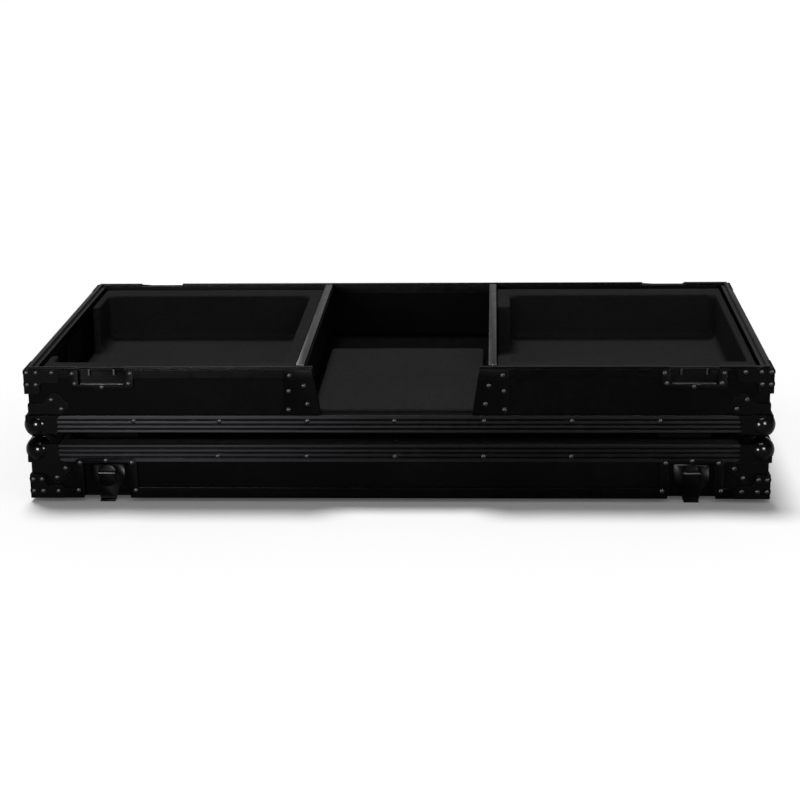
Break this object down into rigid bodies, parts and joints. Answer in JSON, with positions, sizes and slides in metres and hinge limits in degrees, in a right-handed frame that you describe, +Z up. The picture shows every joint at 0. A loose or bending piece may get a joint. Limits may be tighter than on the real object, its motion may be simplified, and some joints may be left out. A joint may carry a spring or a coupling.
{
  "type": "dj coffin case",
  "caption": "Flight case: an open base with foam wells for record decks and a mixer, standing on its turned-over lid, with twist latches and recessed drop handles.",
  "frame": {"origin": "centre of the box's underside, on the floor", "axes": "+Z up, +X to the right and -Y to the front, as seen by someone who uses the case"},
  "size_m": [1.1458, 0.6078, 0.2137],
  "materials": {
    "laminate": "black textured laminate on plywood",
    "divider_ply": "black laminate on plywood",
    "extrusion": "black anodised, satin",
    "ball_steel": "gloss black powder coat on steel",
    "hardware": "black powder coat on steel",
    "latch_steel": "worn black plating on steel",
    "cap_metal": "grey anodised",
    "foam": "charcoal packing foam",
    "foot_rubber": "matt",
    "grip_rubber": "ribbed matt grip on a steel bail"
  },
  "bodies": {
    "lid": {"lid_front_panel": "laminate", "lid_back_panel": "laminate", "lid_left_panel": "laminate", "lid_right_panel": "laminate", "lid_floor": "laminate", "lid_edging": "extrusion", "lid_rim": "extrusion", "lid_ball_corner_front_left": "ball_steel", "lid_ball_corner_front_right": "ball_steel", "lid_ball_corner_back_left": "ball_steel", "lid_ball_corner_back_right": "ball_steel", "lid_lining": "foam", "latch_dish_front_left": "hardware", "latch_dish_front_right": "hardware", "latch_dish_back_left": "hardware", "latch_dish_back_right": "hardware"},
    "base": {"base_front_panel": "laminate", "base_back_panel": "laminate", "base_left_panel": "laminate", "base_right_panel": "laminate", "base_floor": "laminate", "base_edging": "extrusion", "base_rim": "extrusion", "base_ball_corner_front_left": "ball_steel", "base_ball_corner_front_right": "ball_steel", "base_ball_corner_back_left": "ball_steel", "base_ball_corner_back_right": "ball_steel", "divider_left": "divider_ply", "divider_cap_left": "cap_metal", "bay_foam_left": "foam", "handle_dish_left": "hardware", "cutout_plate_left": "hardware", "divider_right": "divider_ply", "divider_cap_right": "cap_metal", "bay_foam_right": "foam", "handle_dish_right": "hardware", "cutout_plate_right": "hardware", "centre_pad": "foam", "foot_front_left": "foot_rubber", "keeper_front_left": "hardware", "foot_front_right": "foot_rubber", "keeper_front_right": "hardware", "foot_back_left": "foot_rubber", "keeper_back_left": "hardware", "foot_back_right": "foot_rubber", "keeper_back_right": "hardware"},
    "latch_hub_front_left": {"latch_hub_front_left": "latch_steel"},
    "latch_hook_front_left": {"latch_hook_front_left": "latch_steel"},
    "latch_key_front_left": {"latch_key_front_left": "latch_steel"},
    "latch_hub_front_right": {"latch_hub_front_right": "latch_steel"},
    "latch_hook_front_right": {"latch_hook_front_right": "latch_steel"},
    "latch_key_front_right": {"latch_key_front_right": "latch_steel"},
    "latch_hub_back_left": {"latch_hub_back_left": "latch_steel"},
    "latch_hook_back_left": {"latch_hook_back_left": "latch_steel"},
    "latch_key_back_left": {"latch_key_back_left": "latch_steel"},
    "latch_hub_back_right": {"latch_hub_back_right": "latch_steel"},
    "latch_hook_back_right": {"latch_hook_back_right": "latch_steel"},
    "latch_key_back_right": {"latch_key_back_right": "latch_steel"},
    "handle_grip_left": {"handle_grip_left": "grip_rubber"},
    "handle_grip_right": {"handle_grip_right": "grip_rubber"}
  },
  "joints": [
    {"name": "base_lift", "type": "slide", "parent": "lid", "child": "base", "axis": [0, 0, 1], "range_m": [0, 0.3]},
    {"name": "latch_twist_front_left", "type": "hinge", "parent": "lid", "child": "latch_hub_front_left", "pos_m": [-0.448, -0.297, 0.043], "axis": [0, -1, 0], "range_deg": [0, 180]},
    {"name": "latch_pull_front_left", "type": "slide", "parent": "lid", "child": "latch_hook_front_left", "axis": [0, 0, -1], "range_m": [0, 0.00801]},
    {"name": "latch_key_fold_front_left", "type": "hinge", "parent": "latch_hub_front_left", "child": "latch_key_front_left", "pos_m": [-0.448, -0.2928, 0.045], "axis": [-1, 0, 0], "range_deg": [0, 90]},
    {"name": "latch_twist_front_right", "type": "hinge", "parent": "lid", "child": "latch_hub_front_right", "pos_m": [0.448, -0.297, 0.043], "axis": [0, -1, 0], "range_deg": [0, 180]},
    {"name": "latch_pull_front_right", "type": "slide", "parent": "lid", "child": "latch_hook_front_right", "axis": [0, 0, -1], "range_m": [0, 0.00801]},
    {"name": "latch_key_fold_front_right", "type": "hinge", "parent": "latch_hub_front_right", "child": "latch_key_front_right", "pos_m": [0.448, -0.2928, 0.045], "axis": [-1, 0, 0], "range_deg": [0, 90]},
    {"name": "latch_twist_back_left", "type": "hinge", "parent": "lid", "child": "latch_hub_back_left", "pos_m": [-0.448, 0.297, 0.043], "axis": [0, 1, 0], "range_deg": [0, 180]},
    {"name": "latch_pull_back_left", "type": "slide", "parent": "lid", "child": "latch_hook_back_left", "axis": [0, 0, -1], "range_m": [0, 0.00801]},
    {"name": "latch_key_fold_back_left", "type": "hinge", "parent": "latch_hub_back_left", "child": "latch_key_back_left", "pos_m": [-0.448, 0.2928, 0.045], "axis": [1, 0, 0], "range_deg": [0, 90]},
    {"name": "latch_twist_back_right", "type": "hinge", "parent": "lid", "child": "latch_hub_back_right", "pos_m": [0.448, 0.297, 0.043], "axis": [0, 1, 0], "range_deg": [0, 180]},
    {"name": "latch_pull_back_right", "type": "slide", "parent": "lid", "child": "latch_hook_back_right", "axis": [0, 0, -1], "range_m": [0, 0.00801]},
    {"name": "latch_key_fold_back_right", "type": "hinge", "parent": "latch_hub_back_right", "child": "latch_key_back_right", "pos_m": [0.448, 0.2928, 0.045], "axis": [1, 0, 0], "range_deg": [0, 90]},
    {"name": "handle_swing_left", "type": "hinge", "parent": "base", "child": "handle_grip_left", "pos_m": [-0.5563, 0, 0.18245], "axis": [0, 1, 0], "range_deg": [0, 90], "stiffness_Nm_per_rad": 0.2, "springref_deg": -20.05},
    {"name": "handle_swing_right", "type": "hinge", "parent": "base", "child": "handle_grip_right", "pos_m": [0.5563, 0, 0.18245], "axis": [0, -1, 0], "range_deg": [0, 90], "stiffness_Nm_per_rad": 0.2, "springref_deg": -20.05}
  ],
  "couplings": [
    {"joint": "latch_pull_front_left", "follows": "latch_twist_front_left", "m_per_rad": 0.0025465},
    {"joint": "latch_pull_front_right", "follows": "latch_twist_front_right", "m_per_rad": 0.0025465},
    {"joint": "latch_pull_back_left", "follows": "latch_twist_back_left", "m_per_rad": 0.0025465},
    {"joint": "latch_pull_back_right", "follows": "latch_twist_back_right", "m_per_rad": 0.0025465}
  ]
}
